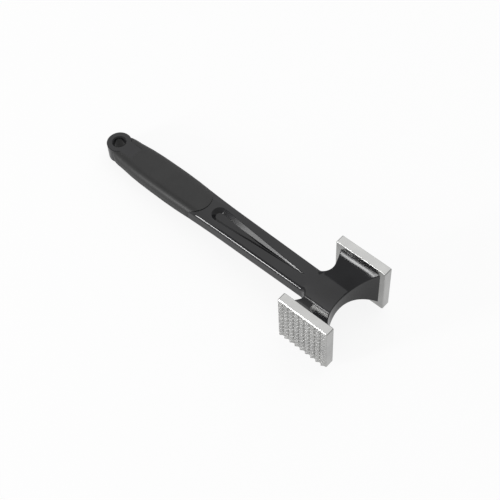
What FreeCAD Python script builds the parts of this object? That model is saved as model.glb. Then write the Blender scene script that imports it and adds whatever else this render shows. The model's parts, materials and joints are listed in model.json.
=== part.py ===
import FreeCAD, Part

import math
import os

import Sketcher

# A two-faced meat mallet: a cast toothed plate and a cast smooth plate on the ends of a waisted
# nylon head, which runs on as a neck and, inside a soft over-moulded grip, as a core that comes
# to light again at the hanging eye.
#
# Frame: millimetres. The origin is the centre of the hanging eye. +X runs along the handle to the
# head, +Y to the smooth plate and -Y to the toothed one, and +Z up through the handle's thickness.
# The whole mallet is its own mirror image in the plane z = 0.

SIZES = {
    # whole mallet
    "eye_to_head": 243.5,
    "head_depth": 79.4,
    # plates
    "plate_width": 50.0,
    "plate_height": 51.0,
    "plate_thickness": 8.2,
    "plate_corner_radius": 1.2,
    "plate_edge_chamfer": 0.5,
    "seat_depth": 1.2,
    "seat_gap": 0.15,
    "seat_corner_radius": 1.2,
    # anchor lugs cast on the back of each plate
    "lug_offset": 6.5,
    "lug_thickness": 4.0,
    "lug_height": 20.0,
    "lug_reach": 9.0,
    "lug_window_height": 10.0,
    "lug_window_reach": 4.0,
    # teeth
    "teeth_per_side": 9,
    "tooth_pitch": 5.4,
    "tooth_height": 2.8,
    "tooth_tip": 0.5,
    "tooth_valley": 0.6,
    # waisted head, measured from its own centre
    "flange_width": 39.6,
    "flange_height": 38.8,
    "waist_front": 5.2,
    "waist_rear": 14.8,
    "cove_radius": 8.0,
    "flare_start": 28.5,
    "flare_full": 20.0,
    "head_edge_radius": 1.0,
    "spigot_step": 0.1,
    # neck
    "neck_thickness": 14.0,
    "neck_half_at_head": 12.2,
    "neck_half_at_shoulder": 13.3,
    "neck_half_at_swell": 13.93,
    "neck_half_at_grip": 14.73,
    "neck_edge_radius": 3.0,
    "swell_place": 109.0,
    "shoulder_place": 136.0,
    "facet_half_at_tongue": 8.1,
    "facet_half_at_shoulder": 11.0,
    "facet_slope": 0.18,
    # teardrop recesses in the neck
    "recess_centre": 119.5,
    "recess_radius": 7.0,
    "recess_tip": 213.0,
    "recess_tip_radius": 0.4,
    "recess_depth": 3.5,
    "recess_wall_run": 3.4,
    "recess_rim_radius": 0.6,
    # core and hanging eye
    "eye_radius": 11.0,
    "eye_half_thickness": 8.0,
    "eye_bore_radius": 5.4,
    "eye_bore_chamfer": 1.0,
    "eye_rim_chamfer": 0.5,
    "eye_pad_half_width": 7.0,
    "eye_pad_length": 21.5,
    "core_half_width": 10.0,
    "core_half_thickness": 5.0,
    "core_end": 112.0,
    "window_length": 14.0,
    "window_half_width": 4.0,
    "window_first": 38.0,
    "window_pitch": 23.0,
    "window_count": 3,
    # grip
    "tongue_tip": 106.3,
    "tongue_radius": 15.5,
}

# Grip stations from the eye to the tongue: place along the handle, half width, half thickness
# and corner radius.
GRIP_STATIONS = (
    (2.5, 11.1, 8.0, 4.0),
    (5.0, 12.45, 8.0, 5.0),
    (7.5, 13.3, 8.0, 6.0),
    (10.5, 13.8, 8.05, 6.5),
    (14.5, 14.15, 8.15, 7.0),
    (20.0, 14.6, 8.3, 7.0),
    (28.0, 15.35, 8.5, 7.0),
    (38.0, 15.8, 8.7, 7.0),
    (52.0, 16.0, 8.9, 7.0),
    (68.0, 16.05, 9.0, 7.0),
    (82.0, 15.8, 8.85, 7.0),
    (92.0, 15.43, 8.55, 7.0),
    (107.5, 14.8, 7.5, 7.0),
)
STATION_ALIASES = (
    "grip_place_%d", "grip_half_width_%d", "grip_half_thickness_%d", "grip_corner_radius_%d",
)
for station_number, station in enumerate(GRIP_STATIONS, start=1):
    for alias_form, station_value in zip(STATION_ALIASES, station):
        SIZES[alias_form % station_number] = station_value

ARC_BULGE = 1 - math.sqrt(0.5)
CLEAR = 5.0

doc = FreeCAD.newDocument("meat_mallet")
sheet = doc.addObject("Spreadsheet::Sheet", "Sizes")
for row, (alias, value) in enumerate(SIZES.items(), start=1):
    sheet.set("A%d" % row, alias)
    sheet.set("B%d" % row, "%g" % value)
    sheet.setAlias("B%d" % row, alias)
doc.recompute()


class Length:
    """A length worked out from the sheet: its number, and the expression that binds it."""

    def __init__(self, value, text):
        self.value = value
        self.text = text

    def combine(self, other, sign, value):
        text = other.text if isinstance(other, Length) else "%.9g" % other
        return Length(value, "(%s %s %s)" % (self.text, sign, text))

    def __add__(self, other):
        return self.combine(other, "+", self.value + number(other))

    def __sub__(self, other):
        return self.combine(other, "-", self.value - number(other))

    def __mul__(self, other):
        return self.combine(other, "*", self.value * number(other))

    def __truediv__(self, other):
        return self.combine(other, "/", self.value / number(other))

    def __neg__(self):
        return self * -1


def number(length):
    return length.value if isinstance(length, Length) else length


def root(length):
    return Length(math.sqrt(length.value), "sqrt(%s)" % length.text)


def size(alias):
    return Length(float(sheet.get(alias)), "Sizes.%s" % alias)


def bind(feature, **lengths):
    """Bind properties of a feature to lengths of the sheet."""
    for name, length in lengths.items():
        feature.setExpression(name, length.text)


def new_body(label):
    body = doc.addObject("PartDesign::Body", label)
    body.Label = label
    return body


def origin_feature(body, role):
    return [item for item in body.Origin.OriginFeatures if item.Role == role][0]


def new_sketch(body, role, name, lift=None):
    """A sketch on one of the body's origin planes, raised along the plane's normal by lift."""
    sketch = body.newObject("Sketcher::SketchObject", name)
    sketch.AttachmentSupport = (origin_feature(body, role), "")
    sketch.MapMode = "FlatFace"
    if lift is not None:
        sketch.setExpression("AttachmentOffset.Base.z", lift.text)
    return sketch


def pin(sketch, element, end, place):
    """Hold a point of a sketch at a place given as two lengths, or 0 for a point on an axis."""
    for kind, axis, length in zip(("DistanceX", "DistanceY"), (-2, -1), place):
        if isinstance(length, Length):
            constraint = Sketcher.Constraint(kind, element, end, length.value)
            index = sketch.addConstraint(constraint)
            sketch.setExpression("Constraints[%d]" % index, length.text)
        else:
            sketch.addConstraint(Sketcher.Constraint("PointOnObject", element, end, axis))


def vector(place):
    return FreeCAD.Vector(number(place[0]), number(place[1]), 0)


def hollow_middle(start, stop):
    """A point just off the middle of a side, towards the X axis: a first guess at its arc."""
    chord = vector(stop) - vector(start)
    middle = (vector(stop) + vector(start)) / 2
    return middle.x, middle.y - math.copysign(chord.Length / 100, middle.y)


def outline(sketch, corners, bends=None, smooth=None):
    """Draw a closed outline. A bend makes the side after its corner an arc through a point.

    A bend through None is an arc that is tangent to its neighbour at a smooth corner instead:
    smooth gives that corner for each such bend.
    """
    bends = bends or {}
    smooth = smooth or {}
    sides = []
    for index, corner in enumerate(corners):
        following = corners[(index + 1) % len(corners)]
        if index in bends:
            through = bends[index] or hollow_middle(corner, following)
            curve = Part.Arc(vector(corner), vector(through), vector(following))
        else:
            curve = Part.LineSegment(vector(corner), vector(following))
        element = sketch.addGeometry(curve, False)
        forward = (sketch.getPoint(element, 1) - vector(corner)).Length < 1e-6
        sides.append((element, 1, 2) if forward else (element, 2, 1))
    for index, (element, start, stop) in enumerate(sides):
        following = (index + 1) % len(sides)
        after, after_start, after_stop = sides[following]
        kind = "Tangent" if following in smooth.values() else "Coincident"
        sketch.addConstraint(Sketcher.Constraint(kind, element, stop, after, after_start))
        pin(sketch, element, start, corners[index])
    for index, through in bends.items():
        if through is None:
            continue
        mark = sketch.addGeometry(Part.Point(vector(through)), True)
        pin(sketch, mark, 1, through)
        element = sides[index][0]
        sketch.addConstraint(Sketcher.Constraint("PointOnObject", mark, 1, element))


def rectangle(sketch, middle, half_x, half_y):
    """A plain rectangle about a middle on the sketch's X axis."""
    outline(sketch, (
        (middle + half_x, half_y),
        (middle - half_x, half_y),
        (middle - half_x, -half_y),
        (middle + half_x, -half_y),
    ))


def rounded_rectangle(sketch, middle, half_x, half_y, radius):
    """A rectangle with rounded corners about a middle on the sketch's X axis."""
    flat_x = half_x - radius
    flat_y = half_y - radius
    bulge_x = half_x - radius * ARC_BULGE
    bulge_y = half_y - radius * ARC_BULGE
    corners = (
        (middle + half_x, -flat_y),
        (middle + half_x, flat_y),
        (middle + flat_x, half_y),
        (middle - flat_x, half_y),
        (middle - half_x, flat_y),
        (middle - half_x, -flat_y),
        (middle - flat_x, -half_y),
        (middle + flat_x, -half_y),
    )
    bends = {
        1: (middle + bulge_x, bulge_y),
        3: (middle - bulge_x, bulge_y),
        5: (middle - bulge_x, -bulge_y),
        7: (middle + bulge_x, -bulge_y),
    }
    outline(sketch, corners, bends)


def centred_rounded_rectangle(sketch, half_x, half_y, radius):
    """A rectangle with rounded corners about the sketch's own centre."""
    rounded_rectangle(sketch, half_x * 0, half_x, half_y, radius)


def circle(sketch, place, radius):
    element = sketch.addGeometry(Part.Circle(vector(place), FreeCAD.Vector(0, 0, 1), radius.value))
    pin(sketch, element, 3, place)
    index = sketch.addConstraint(Sketcher.Constraint("Radius", element, radius.value))
    sketch.setExpression("Constraints[%d]" % index, radius.text)


def pad(body, sketch, name, length, symmetric=False, reverse=False):
    feature = body.newObject("PartDesign::Pad", name)
    feature.Profile = sketch
    feature.SideType = "Symmetric" if symmetric else "One side"
    feature.Reversed = reverse
    bind(feature, Length=length)
    doc.recompute()
    return feature


def pocket(body, sketch, name, length, symmetric=False, reverse=False):
    feature = body.newObject("PartDesign::Pocket", name)
    feature.Profile = sketch
    feature.SideType = "Symmetric" if symmetric else "One side"
    feature.Reversed = reverse
    bind(feature, Length=length)
    doc.recompute()
    return feature


def pattern(body, original, name, axis, pitch, count):
    """Repeat a feature along an origin axis at a pitch."""
    feature = body.newObject("PartDesign::LinearPattern", name)
    feature.Originals = [original]
    feature.Direction = (origin_feature(body, axis), [""])
    bind(feature, Length=pitch * (count - 1), Occurrences=count)
    body.Tip = feature
    doc.recompute()
    return feature


def mirrored(body, originals, name, plane):
    feature = body.newObject("PartDesign::Mirrored", name)
    feature.Originals = originals
    feature.MirrorPlane = (origin_feature(body, plane), [""])
    body.Tip = feature
    doc.recompute()
    return feature


def dressed(body, base, name, kind, chosen, **amount):
    """Fillet or chamfer those edges of a feature that the test chooses."""
    names = ["Edge%d" % (k + 1) for k, edge in enumerate(base.Shape.Edges) if chosen(edge)]
    feature = body.newObject("PartDesign::" + kind, name)
    feature.Base = (base, names)
    bind(feature, **amount)
    body.Tip = feature
    doc.recompute()
    return feature


def near(value, target, slack=0.01):
    return abs(value - number(target)) < slack


def ends(edge):
    return edge.valueAt(edge.FirstParameter), edge.valueAt(edge.LastParameter)


# Places that several sub-parts share.
head = size("eye_to_head")
face = size("head_depth") / 2
back = face - size("plate_thickness")
seat = back + size("seat_depth")
neck_top = size("neck_thickness") / 2
flange_half_width = size("flange_width") / 2
flange_half_height = size("flange_height") / 2
tongue_centre = size("tongue_tip") - size("tongue_radius")


def make_plate(label, side):
    """A striking plate with its seat and anchor lugs. side is +1 for +Y and -1 for -Y."""
    body = new_body(label)
    outward = side < 0
    blank_sketch = new_sketch(body, "XZ_Plane", label + "_outline", back * -side)
    rounded_rectangle(
        blank_sketch, head, size("plate_width") / 2, size("plate_height") / 2,
        size("plate_corner_radius"),
    )
    blank = pad(body, blank_sketch, label + "_blank", size("plate_thickness"), reverse=not outward)
    dressed(
        body, blank, label + "_edges", "Chamfer",
        lambda edge: all(near(abs(end.y), ends(edge)[0].y * side) for end in ends(edge)),
        Size=size("plate_edge_chamfer"),
    )
    seat_sketch = new_sketch(body, "XZ_Plane", label + "_seat_outline", back * -side)
    rounded_rectangle(
        seat_sketch, head, flange_half_width + size("seat_gap"),
        flange_half_height + size("seat_gap"), size("seat_corner_radius"),
    )
    pocket(body, seat_sketch, label + "_seat", size("seat_depth"), reverse=outward)
    lug_sketch = new_sketch(body, "XZ_Plane", label + "_lug_outline", seat * -side)
    for offset in (-size("lug_offset"), size("lug_offset")):
        rectangle(lug_sketch, head + offset, size("lug_thickness") / 2, size("lug_height") / 2)
    lug_length = size("lug_reach") + size("seat_depth")
    pad(body, lug_sketch, label + "_lugs", lug_length, reverse=outward)
    window_sketch = new_sketch(body, "YZ_Plane", label + "_lug_window_outline", head)
    rectangle(
        window_sketch, (back - size("lug_reach") / 2) * side,
        size("lug_window_reach") / 2, size("lug_window_height") / 2,
    )
    window_length = (size("lug_offset") + size("lug_thickness")) * 2
    pocket(body, window_sketch, label + "_lug_windows", window_length, symmetric=True)
    return body


def cut_teeth(body):
    """Raise a block on the toothed plate's face and plough it both ways into pyramids."""
    half_block = size("tooth_pitch") * size("teeth_per_side") / 2
    block_sketch = new_sketch(body, "XZ_Plane", "tooth_block_outline", face)
    rectangle(block_sketch, head, half_block, half_block)
    pad(body, block_sketch, "tooth_block", size("tooth_height"))
    half_floor = size("tooth_valley") / 2
    half_mouth = (size("tooth_pitch") - size("tooth_tip")) / 2
    rise = size("tooth_height") / (half_mouth - half_floor)
    crest = face + size("tooth_height")
    over = size("tooth_valley")
    groove_count = size("teeth_per_side") + 1

    upright_sketch = new_sketch(body, "XY_Plane", "upright_groove_outline")
    first = head - half_block
    outline(upright_sketch, (
        (first - half_floor, -face),
        (first + half_floor, -face),
        (first + half_mouth + over, -(crest + over * rise)),
        (first - half_mouth - over, -(crest + over * rise)),
    ))
    upright = pocket(body, upright_sketch, "upright_groove", half_block * 2, symmetric=True)
    pattern(body, upright, "upright_grooves", "X_Axis", size("tooth_pitch"), groove_count)

    level_sketch = new_sketch(body, "YZ_Plane", "level_groove_outline", head)
    low = -half_block
    outline(level_sketch, (
        (-face, low - half_floor),
        (-face, low + half_floor),
        (-(crest + over * rise), low + half_mouth + over),
        (-(crest + over * rise), low - half_mouth - over),
    ))
    level = pocket(body, level_sketch, "level_groove", half_block * 2, symmetric=True)
    pattern(body, level, "level_grooves", "Z_Axis", size("tooth_pitch"), groove_count)


def bow_radius(half_span, rise):
    """The radius of an arc that rises by so much over a half span."""
    return (half_span * half_span + rise * rise) / (rise * 2)


def fall(radius, aside):
    """How far an arc falls back from its crown at a distance to the side of it."""
    return radius - root(radius * radius - aside * aside)


def make_head_quarter():
    """A quarter of the head and neck: the toothed side's half in plan, above the plane z = 0."""
    body = new_body("head_blank")
    sketch = new_sketch(body, "XY_Plane", "head_plan")
    front = head + flange_half_width
    rear = head - flange_half_width
    neck_half = size("neck_half_at_head")
    front_crown = head + size("waist_front")
    front_radius = bow_radius(back, flange_half_width - size("waist_front"))
    rear_crown = head - size("waist_rear")
    rear_radius = bow_radius(back, flange_half_width - size("waist_rear"))
    join = rear_crown - fall(rear_radius, neck_half)
    rear_halfway = (back + neck_half) / 2
    outline(
        sketch,
        (
            (front_crown, 0),
            (front, -back),
            (rear, -back),
            (join, -neck_half),
            (size("shoulder_place"), -size("neck_half_at_shoulder")),
            (size("swell_place"), -size("neck_half_at_swell")),
            (tongue_centre, -size("neck_half_at_grip")),
            (tongue_centre, 0),
        ),
        {
            0: (front_crown + fall(front_radius, back / 2), -(back / 2)),
            2: (rear_crown - fall(rear_radius, rear_halfway), -rear_halfway),
            4: None,
            5: None,
        },
        {4: 4, 5: 5},
    )
    blank = pad(body, sketch, "head_plan_pad", flange_half_height)
    dressed(
        body, blank, "cove", "Fillet",
        lambda edge: all(near(end.x, join) for end in ends(edge)),
        Radius=size("cove_radius"),
    )
    return body


def make_flare_cutter():
    """All that is above the saddle that flares from the neck's flat top to the flanges."""
    start = head.value - size("flare_start").value
    full = head.value - size("flare_full").value
    front = head.value + flange_half_width.value + CLEAR
    step_count = 8
    places = [start + (full - start) * k / step_count for k in range(step_count + 3)]
    places += [full + (front - full) * k / step_count for k in (2, 5, step_count)]
    top = neck_top.value
    crest = flange_half_height.value
    half_span = back.value + CLEAR
    rise = (crest - top) * (half_span / back.value) ** 2
    poles = []
    for place in places:
        portion = min(max((place - places[2]) / (places[-6] - places[2]), 0.0), 1.0)
        portion = portion * portion * (3 - 2 * portion)
        edge_height = top + portion * rise
        centre_height = 2 * top - edge_height
        poles.append([
            FreeCAD.Vector(place, -half_span, edge_height),
            FreeCAD.Vector(place, 0, centre_height),
            FreeCAD.Vector(place, half_span, edge_height),
        ])
    degree = 3
    span_count = len(poles) - degree
    multiplicities = [degree + 1] + [1] * (span_count - 1) + [degree + 1]
    knots = [float(knot) for knot in range(span_count + 1)]
    surface = Part.BSplineSurface()
    surface.buildFromPolesMultsKnots(
        poles, multiplicities, [3, 3], knots, [0.0, 1.0], False, False, degree, 2,
    )
    cutter = doc.addObject("Part::Feature", "flare_cutter")
    cutter.Shape = surface.toShape().extrude(FreeCAD.Vector(0, 0, 2 * crest))
    return cutter


def make_neck_cutter():
    """All that is above the neck's flat top."""
    cutter = doc.addObject("Part::Box", "neck_cutter")
    start = size("tongue_tip") / 2
    end = head - size("flare_start")
    half_span = back + CLEAR
    bind(cutter, Length=end - start, Width=half_span * 2, Height=flange_half_height)
    cutter.setExpression("Placement.Base.x", start.text)
    cutter.setExpression("Placement.Base.y", (-half_span).text)
    cutter.setExpression("Placement.Base.z", neck_top.text)
    doc.recompute()
    return cutter


def make_facet_cutter():
    """All that is above the facet that eases the neck's shoulder beside the grip's tongue."""
    body = new_body("facet_cutter")
    slope = size("facet_slope")
    tongue_half = size("facet_half_at_tongue")
    shoulder_half = size("facet_half_at_shoulder")
    lean = (shoulder_half - tongue_half) / (size("shoulder_place") - size("tongue_tip"))
    sketches = []
    for name, place, half in (
        ("facet_start", size("tongue_tip") - CLEAR * 2, tongue_half - lean * (CLEAR * 2)),
        ("facet_end", size("shoulder_place"), shoulder_half),
    ):
        sketch = new_sketch(body, "YZ_Plane", name, place)
        outer = half + CLEAR * 2
        outline(sketch, (
            (-(half - CLEAR), neck_top + slope * CLEAR),
            (-outer, neck_top - slope * (CLEAR * 2)),
            (-outer, neck_top + slope * CLEAR),
        ))
        sketches.append(sketch)
    loft = body.newObject("PartDesign::AdditiveLoft", "facet_loft")
    loft.Profile = sketches[0]
    loft.Sections = sketches[1:]
    loft.Ruled = True
    doc.recompute()
    return body


def make_tongue_cutter():
    """The room that the grip's tongue takes from the end of the neck."""
    cutter = doc.addObject("Part::Cylinder", "tongue_cutter")
    bind(cutter, Radius=size("tongue_radius"), Height=size("neck_thickness"))
    cutter.setExpression("Placement.Base.x", tongue_centre.text)
    doc.recompute()
    return cutter


def flipped(source, name, x=0, y=0, z=0):
    """A feature's mirror image in the plane through the origin with that normal."""
    feature = doc.addObject("Part::Mirroring", name)
    feature.Source = source
    feature.Normal = FreeCAD.Vector(x, y, z)
    doc.recompute()
    return feature


def cut_away(base, tool, name):
    feature = doc.addObject("Part::Cut", name)
    feature.Base = base
    feature.Tool = tool
    doc.recompute()
    return feature


def joined(pieces, name):
    feature = doc.addObject("Part::MultiFuse", name)
    feature.Shapes = pieces
    feature.Refine = True
    doc.recompute()
    return feature


def runs_back(edge, progress):
    first, last = ends(edge)
    return progress(first) > progress(last)


def rounded(base, name, chain_of, radius_at, progress):
    """Fillet the edges that chain_of puts into a chain.

    A chain is rounded as one, in the direction of its first edge. That edge is one that runs
    against progress, and every edge's two radii are given in that order.
    """
    feature = doc.addObject("Part::Fillet", name)
    feature.Base = base
    chains = {}
    for index, edge in enumerate(base.Shape.Edges):
        chain = chain_of(*ends(edge))
        if chain is not None:
            chains.setdefault(chain, []).append((index + 1, edge))
    chosen = []
    for chain in chains.values():
        chain.sort(key=lambda item: progress(item[1].firstVertex().Point), reverse=True)
        chain.sort(key=lambda item: not runs_back(item[1], progress))
        for index, edge in chain:
            outer, inner = sorted(ends(edge), key=progress, reverse=True)
            chosen.append((index, radius_at(outer), radius_at(inner)))
    feature.Edges = chosen
    doc.recompute()
    return feature


def rim_progress(place):
    """How far a place on the rim is from the grip: a number that only grows along the rim."""
    return place.x + 10 * abs(place.y)


def rim_radius(place):
    """The radius of the neck's and head's long edges at a place on them."""
    on_neck = place.x < head.value and abs(place.y) < size("neck_half_at_grip").value + 1
    return size("neck_edge_radius" if on_neck else "head_edge_radius").value


def rim_chain(first, last):
    """The chain of an edge that runs along the top of the neck and head quarter."""
    on_rim = min(first.z, last.z) > neck_top.value - 0.01
    on_end = near(abs(first.y), back) and near(first.y, last.y)
    to_middle = near(first.y, 0) or near(last.y, 0)
    if not on_rim or on_end or near(first.y, last.y) and to_middle:
        return None
    if first.x > head.value:
        return "front"
    return None if to_middle else "side"


def recess_outline(sketch, swell):
    """The teardrop, grown about the middle of its round end by a distance at that end."""
    full = size("recess_radius")
    scale = (full + swell) / full
    centre = size("recess_centre")
    reach = size("recess_tip") - size("recess_tip_radius") - centre
    sine = (full - size("recess_tip_radius")) / reach
    cosine = root(-(sine * sine) + 1)
    big = full * scale
    small = size("recess_tip_radius") * scale
    tip_centre = centre + reach * scale
    outline(
        sketch,
        (
            (centre + big * sine, big * cosine),
            (tip_centre + small * sine, small * cosine),
            (tip_centre + small * sine, -(small * cosine)),
            (centre + big * sine, -(big * cosine)),
        ),
        {
            1: (tip_centre + small, 0),
            3: (centre - big, 0),
        },
    )


def make_recess_tool():
    """The solid that hollows the teardrop recess, with walls that lean in towards its floor."""
    body = new_body("recess_tool")
    lift = size("recess_rim_radius") * 2
    depth = size("recess_depth")
    run = size("recess_wall_run")
    upper = new_sketch(body, "XY_Plane", "recess_mouth", neck_top + lift)
    recess_outline(upper, run * lift / depth)
    lower = new_sketch(body, "XY_Plane", "recess_floor", neck_top - depth)
    recess_outline(lower, -run)
    loft = body.newObject("PartDesign::AdditiveLoft", "recess_loft")
    loft.Profile = upper
    loft.Sections = [lower]
    loft.Ruled = True
    doc.recompute()
    return body


def recess_chain(first, last):
    """The chain of an edge on the rim of the quarter's teardrop recess."""
    level = near(first.z, neck_top) and near(first.z, last.z)
    reach = size("recess_radius").value + 0.01
    inside = max(abs(first.y), abs(last.y)) < reach
    in_middle = near(first.y, 0) and near(last.y, 0)
    past_tongue = min(first.x, last.x) > size("tongue_tip").value + 1
    return "rim" if level and inside and past_tongue and not in_middle else None


def recess_rim_radius(place):
    return size("recess_rim_radius").value


def make_spigots():
    """The ends of the head that sit in the plates' seats."""
    body = new_body("spigots")
    sketch = new_sketch(body, "XZ_Plane", "spigot_outline", back)
    rounded_rectangle(
        sketch, head, flange_half_width - size("spigot_step"),
        flange_half_height - size("spigot_step"), size("seat_corner_radius"),
    )
    near_spigot = pad(body, sketch, "near_spigot", size("seat_depth"))
    mirrored(body, [near_spigot], "far_spigot", "XZ_Plane")
    return body


def make_core():
    """The core that the grip is moulded around, with its lock windows and the hanging eye."""
    body = new_body("core")
    disc_sketch = new_sketch(body, "XY_Plane", "eye_disc_outline")
    circle(disc_sketch, (0, 0), size("eye_radius"))
    disc = pad(body, disc_sketch, "eye_disc", size("eye_half_thickness") * 2, symmetric=True)
    dressed(
        body, disc, "eye_rim", "Chamfer",
        lambda edge: near(abs(edge.CenterOfMass.z), size("eye_half_thickness")),
        Size=size("eye_rim_chamfer"),
    )
    strip_sketch = new_sketch(body, "XY_Plane", "eye_strip_outline")
    half_strip = size("eye_pad_length") / 2
    rectangle(strip_sketch, half_strip, half_strip, size("eye_pad_half_width"))
    pad(body, strip_sketch, "eye_strip", size("eye_half_thickness") * 2, symmetric=True)
    core_sketch = new_sketch(body, "XY_Plane", "core_outline")
    half_core = size("core_end") / 2
    rectangle(core_sketch, half_core, half_core, size("core_half_width"))
    pad(body, core_sketch, "core_bar", size("core_half_thickness") * 2, symmetric=True)
    window_sketch = new_sketch(body, "XY_Plane", "window_outline")
    rectangle(
        window_sketch, size("window_first"), size("window_length") / 2, size("window_half_width"),
    )
    through = size("eye_half_thickness") * 3
    window = pocket(body, window_sketch, "window", through, symmetric=True)
    pattern(body, window, "windows", "X_Axis", size("window_pitch"), size("window_count"))
    bore_sketch = new_sketch(body, "XY_Plane", "eye_bore_outline")
    circle(bore_sketch, (0, 0), size("eye_bore_radius"))
    bore = pocket(body, bore_sketch, "eye_bore", through, symmetric=True)
    dressed(
        body, bore, "eye_bore_edges", "Chamfer",
        lambda edge: edge.Closed and near(edge.Curve.Radius, size("eye_bore_radius")),
        Size=size("eye_bore_chamfer"),
    )
    return body


def make_frame(plates):
    """The nylon moulding that carries the plates and the grip."""
    form = make_head_quarter()
    for cutter in (make_neck_cutter(), make_flare_cutter()):
        form = cut_away(form, cutter, "quarter_less_" + cutter.Name)
    form = rounded(form, "quarter_rounded", rim_chain, rim_radius, rim_progress)
    for cutter in (make_tongue_cutter(), make_facet_cutter(), make_recess_tool()):
        form = cut_away(form, cutter, "quarter_less_" + cutter.Name)
    quarter = rounded(form, "quarter_eased", recess_chain, recess_rim_radius, rim_progress)
    half = joined([quarter, flipped(quarter, "quarter_below", z=1)], "toothed_half")
    other_half = flipped(half, "smooth_half", y=1)
    whole = joined([half, other_half, make_spigots(), make_core()], "frame_blank")
    for plate in plates:
        whole = cut_away(whole, plate, "frame_less_" + plate.Label)
    whole.Label = "frame"
    return whole


def make_grip(frame):
    """The soft sleeve: lofted through its stations, ended by a tongue, and emptied by the frame."""
    body = new_body("grip_form")
    sketches = []
    for station_number in range(1, len(GRIP_STATIONS) + 1):
        place, half_width, half_thickness, corner = (
            size(form % station_number) for form in STATION_ALIASES
        )
        sketch = new_sketch(body, "YZ_Plane", "grip_station_%d" % station_number, place)
        centred_rounded_rectangle(sketch, half_width, half_thickness, corner)
        sketches.append(sketch)
    loft = body.newObject("PartDesign::AdditiveLoft", "grip_loft")
    loft.Profile = sketches[0]
    loft.Sections = sketches[1:]
    loft.Ruled = True
    doc.recompute()

    end_sketch = new_sketch(body, "XY_Plane", "tongue_outline")
    radius = size("tongue_radius")
    last = size(STATION_ALIASES[0] % len(GRIP_STATIONS))
    outline(
        end_sketch,
        (
            (tongue_centre, radius),
            (tongue_centre, radius + CLEAR),
            (last + CLEAR, radius + CLEAR),
            (last + CLEAR, -(radius + CLEAR)),
            (tongue_centre, -(radius + CLEAR)),
            (tongue_centre, -radius),
        ),
        {5: (size("tongue_tip"), 0)},
    )
    through = size("eye_half_thickness") * 3
    pocket(body, end_sketch, "tongue", through, symmetric=True)

    keyhole_sketch = new_sketch(body, "XY_Plane", "eye_clearance_outline")
    eye = size("eye_radius")
    strip = size("eye_pad_half_width")
    join = root(eye * eye - strip * strip)
    outline(
        keyhole_sketch,
        (
            (size("eye_pad_length"), strip),
            (join, strip),
            (join, -strip),
            (size("eye_pad_length"), -strip),
        ),
        {1: (-eye, 0)},
    )
    pocket(body, keyhole_sketch, "eye_clearance", through, symmetric=True)
    grip = cut_away(body, frame, "grip")
    grip.Label = "grip"
    return grip


def check(pieces):
    """Stop if any object of the document failed, or if any piece is not one sound solid."""
    for item in doc.Objects:
        if "Invalid" in item.State or "Error" in item.State:
            raise RuntimeError("%s failed: %s" % (item.Name, item.getStatusString()))
    for piece in pieces:
        shape = piece.Shape
        if shape.isNull() or not shape.isValid() or len(shape.Solids) != 1:
            raise RuntimeError("%s is not one sound solid" % piece.Label)


plates = [make_plate("tooth_plate", -1), make_plate("smooth_plate", 1)]
cut_teeth(plates[0])
frame = make_frame(plates)
grip = make_grip(frame)
pieces = plates + [frame, grip]
doc.recompute()
check(pieces)
os.makedirs("parts", exist_ok=True)
for piece in pieces:
    piece.Shape.exportStep("parts/%s.step" % piece.Label)
    print("parts/%s.step" % piece.Label, round(piece.Shape.Volume, 1))
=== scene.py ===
import json
import math
from collections import namedtuple

import bpy
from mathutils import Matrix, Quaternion, Vector

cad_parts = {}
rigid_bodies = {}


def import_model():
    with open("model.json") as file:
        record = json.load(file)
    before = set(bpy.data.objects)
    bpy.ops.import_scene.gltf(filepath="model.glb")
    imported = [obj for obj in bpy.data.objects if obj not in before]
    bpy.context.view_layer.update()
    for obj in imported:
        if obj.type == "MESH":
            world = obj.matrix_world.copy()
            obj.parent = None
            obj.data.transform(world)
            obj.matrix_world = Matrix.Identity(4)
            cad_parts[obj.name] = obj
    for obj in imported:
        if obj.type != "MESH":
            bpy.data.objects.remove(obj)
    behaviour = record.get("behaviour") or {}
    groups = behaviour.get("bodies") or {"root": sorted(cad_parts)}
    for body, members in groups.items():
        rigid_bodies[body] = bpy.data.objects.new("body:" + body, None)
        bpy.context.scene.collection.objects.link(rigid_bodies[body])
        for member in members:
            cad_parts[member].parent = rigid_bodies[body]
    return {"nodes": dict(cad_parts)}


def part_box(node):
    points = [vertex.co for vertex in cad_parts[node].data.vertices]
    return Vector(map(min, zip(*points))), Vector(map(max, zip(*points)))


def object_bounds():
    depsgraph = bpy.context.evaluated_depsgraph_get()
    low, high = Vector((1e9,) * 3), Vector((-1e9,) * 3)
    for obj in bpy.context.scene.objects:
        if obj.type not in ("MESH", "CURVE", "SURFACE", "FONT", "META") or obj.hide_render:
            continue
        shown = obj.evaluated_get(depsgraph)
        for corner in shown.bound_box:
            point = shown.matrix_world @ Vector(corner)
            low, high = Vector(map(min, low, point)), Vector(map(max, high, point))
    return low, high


# Whatever Blender starts with is no part of the object.
for leftover in list(bpy.data.objects):
    bpy.data.objects.remove(leftover)

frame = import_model()
cad_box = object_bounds()
scene = bpy.context.scene
nodes = frame["nodes"]


# ---------------------------------------------------------------- node helpers

# A noise texture: its features per metre, how many finer layers it has, and their weight.
Noise = namedtuple("Noise", "scale detail roughness")

# A bump: the height of its relief in metres, and how strongly it tilts the surface.
Bump = namedtuple("Bump", "height strength")

# The band that spread maps from and to where nothing else is said.
FULL_BAND = (0.0, 1.0)

# The Mix node's sockets go by number, because its names repeat for every kind of data.
MIX_FACTOR = 0
MIX_COLOUR_A = 6
MIX_COLOUR_B = 7
MIX_COLOUR_RESULT = 2


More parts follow.
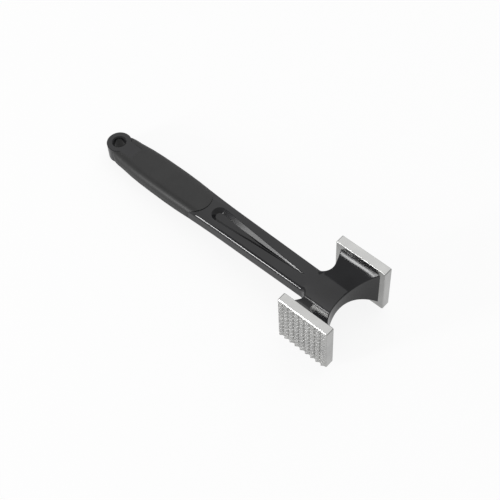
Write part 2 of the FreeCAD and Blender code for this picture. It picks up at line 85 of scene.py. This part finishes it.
class Shader:
    """A small front end to one node tree."""

    def __init__(self, tree):
        self.tree = tree
        tree.nodes.clear()

    def add(self, kind, *, settings=None, **inputs):
        """Adds a node. An underscore in an input's name stands for a space."""
        node = self.tree.nodes.new(kind)
        for name, value in (settings or {}).items():
            setattr(node, name, value)
        for name, value in inputs.items():
            self.feed(node.inputs[name.replace("_", " ")], value)
        return node

    def feed(self, socket, value):
        """Links a socket to an input, or writes a plain value into it."""
        if isinstance(value, bpy.types.NodeSocket):
            self.tree.links.new(value, socket)
        else:
            socket.default_value = value

    def feed_all(self, sockets, values):
        for socket, value in zip(sockets, values):
            self.feed(socket, value)

    def object_place(self, scale=(1.0, 1.0, 1.0)):
        """The point on the part in metres. A scale under 1 draws a pattern out on that axis."""
        place = self.add("ShaderNodeTexCoord").outputs["Object"]
        mapping = self.add("ShaderNodeMapping", Vector=place)
        mapping.inputs["Scale"].default_value = scale
        return mapping.outputs["Vector"]

    def noise(self, place, kind):
        node = self.add(
            "ShaderNodeTexNoise",
            Vector=place,
            Scale=kind.scale,
            Detail=kind.detail,
            Roughness=kind.roughness,
        )
        return node.outputs["Fac"]

    def spread(self, value, made_band=FULL_BAND, from_band=FULL_BAND):
        """Maps a value from one band to another, and holds it at the ends."""
        node = self.add("ShaderNodeMapRange", Value=value)
        sockets = [node.inputs[name] for name in ("From Min", "From Max", "To Min", "To Max")]
        self.feed_all(sockets, from_band + made_band)
        return node.outputs["Result"]

    def maths(self, operation, a, b):
        node = self.add("ShaderNodeMath", settings={"operation": operation})
        self.feed_all(node.inputs, (a, b))
        return node.outputs["Value"]

    def mix_colour(self, factor, a, b):
        node = self.add("ShaderNodeMix", settings={"data_type": "RGBA"})
        sockets = [node.inputs[number] for number in (MIX_FACTOR, MIX_COLOUR_A, MIX_COLOUR_B)]
        self.feed_all(sockets, (factor, a, b))
        return node.outputs[MIX_COLOUR_RESULT]

    def bump(self, relief, kind, under=None):
        """A bump from a relief of 0 to 1, on top of the bump under it if there is one."""
        node = self.add(
            "ShaderNodeBump", Height=relief, Distance=kind.height, Strength=kind.strength
        )
        if under is not None:
            self.feed(node.inputs["Normal"], under)
        return node.outputs["Normal"]


def grey(level, tint=0.0):
    """A neutral colour, or one that leans to blue by its tint, or to yellow below zero."""
    return (level, level, level * (1.0 + tint), 1.0)


def material(name):
    made = bpy.data.materials.new(name)
    made.use_nodes = True
    return made, Shader(made.node_tree)


def finish_surface(shader, surface):
    output = shader.add("ShaderNodeOutputMaterial")
    shader.feed(output.inputs["Surface"], surface)


def dress(node, made):
    """Puts a material on every slot of a CAD node."""
    for slot in node.material_slots:
        slot.material = made


# ------------------------------------------------------------------- materials

# Most values of a noise lie in the wide band. The narrow one gives more contrast.
WIDE_BAND = (0.3, 0.7)
NARROW_BAND = (0.35, 0.65)

ALLOY_DARK = grey(0.55, -0.01)
ALLOY_LIGHT = grey(0.66, -0.02)
ALLOY_ROUGHNESS = (0.19, 0.27)
ALLOY_GRAIN = Noise(scale=1500.0, detail=3.0, roughness=0.6)
ALLOY_CLOUD = Noise(scale=70.0, detail=2.0, roughness=0.5)
ALLOY_DRAWING = Noise(scale=2400.0, detail=2.0, roughness=0.5)
ALLOY_DRAWING_SCALE = (1.0, 1.0, 0.03)
ALLOY_GRAIN_BUMP = Bump(height=0.00004, strength=0.5)
ALLOY_DRAWING_BUMP = Bump(height=0.00003, strength=0.4)
GRAIN_IN_TONE = 0.8
TONE_BAND = (0.6, 1.2)

NYLON_DARK = grey(0.019, 0.10)
NYLON_LIGHT = grey(0.025, 0.10)
NYLON_ROUGHNESS = (0.07, 0.10)
NYLON_FLOW = Noise(scale=45.0, detail=2.0, roughness=0.5)
NYLON_HANDLING = Noise(scale=150.0, detail=2.0, roughness=0.5)
NYLON_HANDLING_SCALE = (0.25, 1.0, 1.0)
NYLON_FLOW_BUMP = Bump(height=0.00002, strength=0.2)

GRIP_DARK = grey(0.036)
GRIP_LIGHT = grey(0.042)
GRIP_ROUGHNESS = (0.42, 0.52)
GRIP_CLOUD = Noise(scale=60.0, detail=2.0, roughness=0.5)
GRIP_SKIN = Noise(scale=2600.0, detail=2.0, roughness=0.6)
GRIP_SKIN_BUMP = Bump(height=0.00002, strength=0.4)


def cast_aluminium():
    """Die-cast plates: a fine blasted grain with faint upright draw lines."""
    made, shader = material("cast_aluminium_finish")
    place = shader.object_place()
    grain = shader.noise(place, ALLOY_GRAIN)
    cloud = shader.noise(place, ALLOY_CLOUD)
    drawing = shader.noise(shader.object_place(ALLOY_DRAWING_SCALE), ALLOY_DRAWING)
    tone = shader.maths("ADD", cloud, shader.maths("MULTIPLY", grain, GRAIN_IN_TONE))
    share = shader.spread(tone, from_band=TONE_BAND)
    surface = shader.add(
        "ShaderNodeBsdfPrincipled",
        Base_Color=shader.mix_colour(share, ALLOY_DARK, ALLOY_LIGHT),
        Metallic=1.0,
        Roughness=shader.spread(grain, ALLOY_ROUGHNESS, WIDE_BAND),
        Normal=shader.bump(
            drawing, ALLOY_DRAWING_BUMP, under=shader.bump(grain, ALLOY_GRAIN_BUMP)
        ),
    )
    finish_surface(shader, surface.outputs["BSDF"])
    return made


def black_nylon():
    """Polished nylon, clouded a little by its flow, with a gloss that handling has varied."""
    made, shader = material("black_nylon_finish")
    flow = shader.noise(shader.object_place(), NYLON_FLOW)
    handling = shader.noise(shader.object_place(NYLON_HANDLING_SCALE), NYLON_HANDLING)
    share = shader.spread(flow, from_band=NARROW_BAND)
    surface = shader.add(
        "ShaderNodeBsdfPrincipled",
        Base_Color=shader.mix_colour(share, NYLON_DARK, NYLON_LIGHT),
        Roughness=shader.spread(handling, NYLON_ROUGHNESS, NARROW_BAND),
        Normal=shader.bump(flow, NYLON_FLOW_BUMP),
    )
    finish_surface(shader, surface.outputs["BSDF"])
    return made


def soft_grip():
    """Matt thermoplastic rubber with a fine spark-eroded skin."""
    made, shader = material("soft_grip_finish")
    place = shader.object_place()
    cloud = shader.noise(place, GRIP_CLOUD)
    skin = shader.noise(place, GRIP_SKIN)
    share = shader.spread(cloud, from_band=NARROW_BAND)
    surface = shader.add(
        "ShaderNodeBsdfPrincipled",
        Base_Color=shader.mix_colour(share, GRIP_DARK, GRIP_LIGHT),
        Roughness=shader.spread(skin, GRIP_ROUGHNESS, WIDE_BAND),
        Normal=shader.bump(skin, GRIP_SKIN_BUMP),
    )
    finish_surface(shader, surface.outputs["BSDF"])
    return made


aluminium = cast_aluminium()
dress(nodes["tooth_plate"], aluminium)
dress(nodes["smooth_plate"], aluminium)
dress(nodes["frame"], black_nylon())
dress(nodes["grip"], soft_grip())


# ----------------------------------------------------------- floor and backdrop

# The mallet lies on its eye end and on the plates' lower edges towards the handle.
EYE_HALF_THICKNESS = 0.008
cad_low, _ = cad_box
plate_low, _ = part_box("tooth_plate")
eye_rest = Vector((cad_low.x, 0.0, -EYE_HALF_THICKNESS))
head_rest = Vector((plate_low.x, 0.0, plate_low.z))

# The floor's side in metres, and the share of the light that its paper gives back.
FLOOR_SIZE = 8.0
PAPER = 0.86

# The paper's glow is for the camera and for reflections only.
PAPER_GLOW = 1.1
GLOW_TO_CAMERA = 0.80
GLOW_TO_GLOSS = 0.34

# The camera sees a white sky, and the object gets this much of it.
SKY_GLOW = 0.33
SKY_TO_CAMERA = 1.0


def floor_mesh():
    """A square that passes under the mallet's points of rest."""
    along = (head_rest - eye_rest).normalized()
    side = Vector((0.0, 1.0, 0.0))
    middle = (eye_rest + head_rest) / 2
    half = FLOOR_SIZE / 2
    corners = [
        middle + along * half * a + side * half * b
        for a, b in ((-1, -1), (1, -1), (1, 1), (-1, 1))
    ]
    mesh = bpy.data.meshes.new("floor")
    mesh.from_pydata(corners, [], [(0, 1, 2, 3)])
    return mesh


def floor_paper():
    """Pale matt paper that the camera and reflections see nearly white."""
    made, shader = material("floor_paper")
    paths = shader.add("ShaderNodeLightPath").outputs
    paper = shader.add("ShaderNodeBsdfDiffuse", Color=grey(PAPER))
    glow = shader.add("ShaderNodeEmission", Strength=PAPER_GLOW)
    share = shader.maths(
        "ADD",
        shader.maths("MULTIPLY", paths["Is Camera Ray"], GLOW_TO_CAMERA),
        shader.maths("MULTIPLY", paths["Is Glossy Ray"], GLOW_TO_GLOSS),
    )
    mixed = shader.add("ShaderNodeMixShader")
    shader.feed_all(
        mixed.inputs, (share, paper.outputs["BSDF"], glow.outputs["Emission"])
    )
    finish_surface(shader, mixed.outputs["Shader"])
    return made


def make_floor():
    mesh = floor_mesh()
    floor = bpy.data.objects.new("floor", mesh)
    scene.collection.objects.link(floor)
    mesh.materials.append(floor_paper())


def make_world():
    world = bpy.data.worlds.new("studio")
    world.use_nodes = True
    scene.world = world
    shader = Shader(world.node_tree)
    seen = shader.add("ShaderNodeLightPath").outputs["Is Camera Ray"]
    sky = shader.add(
        "ShaderNodeBackground",
        Color=grey(1.0),
        Strength=shader.spread(seen, (SKY_GLOW, SKY_TO_CAMERA)),
    )
    output = shader.add("ShaderNodeOutputWorld")
    shader.feed(output.inputs["Surface"], sky.outputs["Background"])


make_floor()
make_world()


# -------------------------------------------------------- placing round a point


def direction(azimuth, elevation):
    """The unit vector at an azimuth, from +X towards +Y, and an elevation, in degrees."""
    turn = math.radians(azimuth)
    rise = math.radians(elevation)
    return Vector(
        (math.cos(rise) * math.cos(turn), math.cos(rise) * math.sin(turn), math.sin(rise))
    )


def face(thing, target, toward, distance, roll=0.0):
    """Stands a lamp or camera off from a point, in a direction, and turns its front there."""
    level = (-toward).to_track_quat("-Z", "Y")
    thing.location = target + toward * distance
    thing.rotation_mode = "QUATERNION"
    thing.rotation_quaternion = level @ Quaternion((0.0, 0.0, 1.0), math.radians(roll))


# ---------------------------------------------------------------------- lights

# The lamps stand round this point, which lies in the neck.
LAMP_TARGET = Vector((0.16, 0.0, 0.0))
REAR_DISTANCE = 3.0
FRONT_DISTANCE = 1.8

# A lamp fills a span of azimuths and one of elevations, in degrees, seen from its target.
# The radiance is that of the lamp's face.
Lamp = namedtuple("Lamp", "name azimuths elevations distance radiance")

LAMPS = (
    # The soft sheen on the tops of the handle and the plates.
    Lamp(
        name="rear_ceiling",
        azimuths=(60.0, 150.0),
        elevations=(22.0, 86.0),
        distance=REAR_DISTANCE,
        radiance=0.64,
    ),
    # The thin bar of light on the flare behind the toothed plate.
    Lamp(
        name="rear_strip",
        azimuths=(96.0, 109.7),
        elevations=(17.6, 19.0),
        distance=REAR_DISTANCE,
        radiance=9.0,
    ),
    # The bright line along the neck's near edge.
    Lamp(
        name="front_lamp",
        azimuths=(-118.0, -108.5),
        elevations=(8.5, 21.5),
        distance=FRONT_DISTANCE,
        radiance=29.0,
    ),
    # The far wall of the recess.
    Lamp(
        name="front_flag",
        azimuths=(-123.0, -118.0),
        elevations=(16.0, 22.0),
        distance=FRONT_DISTANCE,
        radiance=5.0,
    ),
    # The stripe on the flare of the smooth plate, and the upper facets of the teeth.
    Lamp(
        name="front_kicker",
        azimuths=(-115.5, -110.0),
        elevations=(42.9, 45.5),
        distance=FRONT_DISTANCE,
        radiance=15.0,
    ),
)


def middle_and_half(span):
    """The middle of a span and half its width."""
    low, high = span
    return (low + high) / 2, (high - low) / 2


def make_soft_box(lamp):
    """A rectangular lamp that faces its target and that the camera doesn't see."""
    azimuth, half_turn = middle_and_half(lamp.azimuths)
    elevation, half_rise = middle_and_half(lamp.elevations)
    toward = direction(azimuth, elevation)
    level_share = math.cos(math.radians(elevation))
    width = 2 * lamp.distance * math.tan(math.radians(half_turn)) * level_share
    height = 2 * lamp.distance * math.tan(math.radians(half_rise))
    data = bpy.data.lights.new(lamp.name, "AREA")
    data.shape = "RECTANGLE"
    data.size = width
    data.size_y = height
    data.energy = lamp.radiance * math.pi * width * height
    box = bpy.data.objects.new(lamp.name, data)
    scene.collection.objects.link(box)
    face(box, LAMP_TARGET, toward, lamp.distance)
    box.visible_camera = False


for lamp in LAMPS:
    make_soft_box(lamp)


# ---------------------------------------------------------------------- camera

# The camera stands where the photograph was taken from. Angles are in degrees, lengths in
# metres, and the lens and sensor in millimetres.
CAMERA_TARGET = Vector((0.159516, -0.007151, 0.0))
CAMERA_AZIMUTH = -44.7487
CAMERA_ELEVATION = 55.9228
CAMERA_ROLL = -4.0693
CAMERA_DISTANCE = 0.959647
CAMERA_LENS = 84.04
CAMERA_SENSOR = 36.0
CAMERA_NEAR = 0.05
CAMERA_FAR = 20.0


def make_camera():
    data = bpy.data.cameras.new("photo")
    data.sensor_width = CAMERA_SENSOR
    data.lens = CAMERA_LENS
    data.clip_start = CAMERA_NEAR
    data.clip_end = CAMERA_FAR
    camera = bpy.data.objects.new("photo", data)
    scene.collection.objects.link(camera)
    toward = direction(CAMERA_AZIMUTH, CAMERA_ELEVATION)
    face(camera, CAMERA_TARGET, toward, CAMERA_DISTANCE, CAMERA_ROLL)
    scene.camera = camera


make_camera()

scene.view_settings.view_transform = "Standard"
